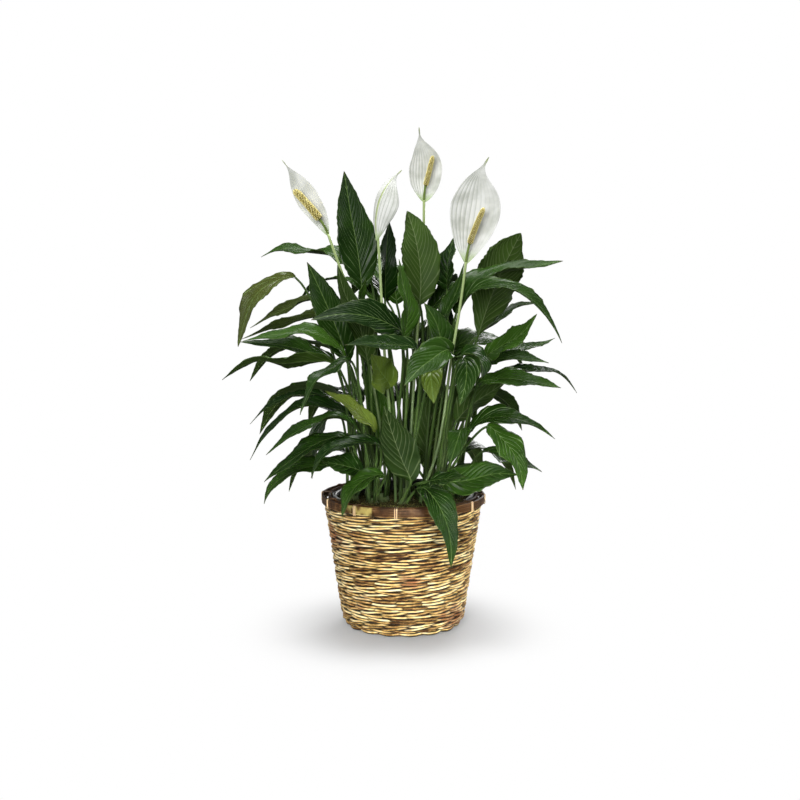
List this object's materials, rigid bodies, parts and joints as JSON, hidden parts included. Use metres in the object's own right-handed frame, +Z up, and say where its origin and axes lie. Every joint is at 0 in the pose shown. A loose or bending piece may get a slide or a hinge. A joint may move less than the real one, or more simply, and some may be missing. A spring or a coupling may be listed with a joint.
{
  "type": "potted peace lily",
  "caption": "Leafy potted plant with arching glossy leaves and white hooded blooms, standing in a grower's pot inside a round tapered wicker basket.",
  "frame": {"origin": "middle of the basket's underside, on the floor it stands on", "axes": "+Z up, -Y towards the side that the picture shows, +X to that side's right"},
  "size_m": [0.5678, 0.4728, 0.8051],
  "materials": {
    "willow": "satin",
    "brown_cane": "satin",
    "pale_cane": "satin",
    "liner_film": "gloss",
    "pot_plastic": "gloss",
    "potting_soil": "matte",
    "moss": "matte",
    "leaf": "satin",
    "flower_stalk": "satin",
    "spathe": "satin",
    "spadix": "matte"
  },
  "bodies": {
    "root": {"basket_wall": "willow", "basket_base": "brown_cane", "rim_hoop_outer": "brown_cane", "rim_hoop_inner": "brown_cane", "plastic_liner": "liner_film", "grower_pot": "pot_plastic", "soil": "potting_soil", "moss": "moss", "rim_binding_01": "pale_cane", "rim_binding_02": "pale_cane", "rim_binding_03": "pale_cane", "rim_binding_04": "pale_cane", "rim_binding_05": "pale_cane", "rim_binding_06": "pale_cane", "rim_binding_07": "pale_cane", "rim_binding_08": "pale_cane", "rim_binding_09": "pale_cane", "rim_binding_10": "pale_cane", "rim_binding_11": "pale_cane", "rim_binding_12": "pale_cane", "shoot_front": "leaf", "shoot_front_left": "leaf", "shoot_front_right": "leaf", "shoot_left": "leaf", "shoot_right": "leaf", "shoot_mid_left": "leaf", "shoot_mid_right": "leaf", "shoot_centre": "leaf", "shoot_back_left": "leaf", "shoot_back_right": "leaf", "shoot_back": "leaf", "bloom_left_stalk": "flower_stalk", "bloom_left_spathe": "spathe", "bloom_left_spadix": "spadix", "bloom_small_stalk": "flower_stalk", "bloom_small_spathe": "spathe", "bloom_small_spadix": "spadix", "bloom_top_stalk": "flower_stalk", "bloom_top_spathe": "spathe", "bloom_top_spadix": "spadix", "bloom_big_stalk": "flower_stalk", "bloom_big_spathe": "spathe", "bloom_big_spadix": "spadix"}
  },
  "joints": []
}
